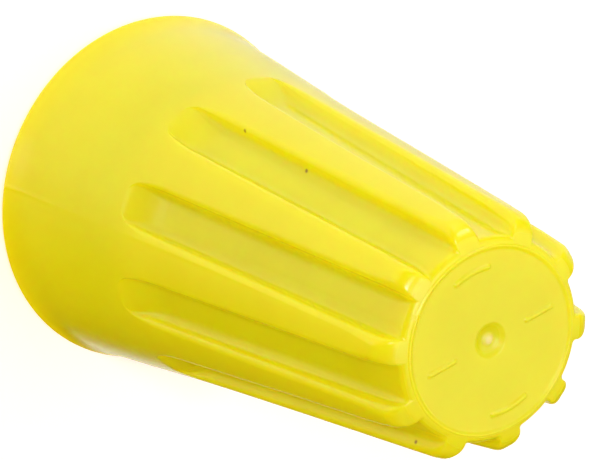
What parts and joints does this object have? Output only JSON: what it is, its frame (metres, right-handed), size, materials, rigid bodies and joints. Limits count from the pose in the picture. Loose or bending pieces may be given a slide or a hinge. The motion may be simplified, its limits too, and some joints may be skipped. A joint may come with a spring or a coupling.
{
  "type": "twist-on wire connector",
  "caption": "Ribbed tapered twist-on wire connector: a yellow plastic shell, closed at the tip and open at the rim, lined with a tapered square-wire coil spring.",
  "frame": {"origin": "centre of the open rim, on the plane the rim stands on", "axes": "+Z along the connector's axis from the open rim to the closed tip; +X through the middle of a rib"},
  "size_m": [0.016, 0.016, 0.0269],
  "materials": {
    "shell": "glossy moulded yellow thermoplastic, slightly translucent",
    "spring": "drawn square steel wire, zinc plated"
  },
  "bodies": {
    "root": {"shell": "shell", "spring": "spring"}
  },
  "joints": []
}
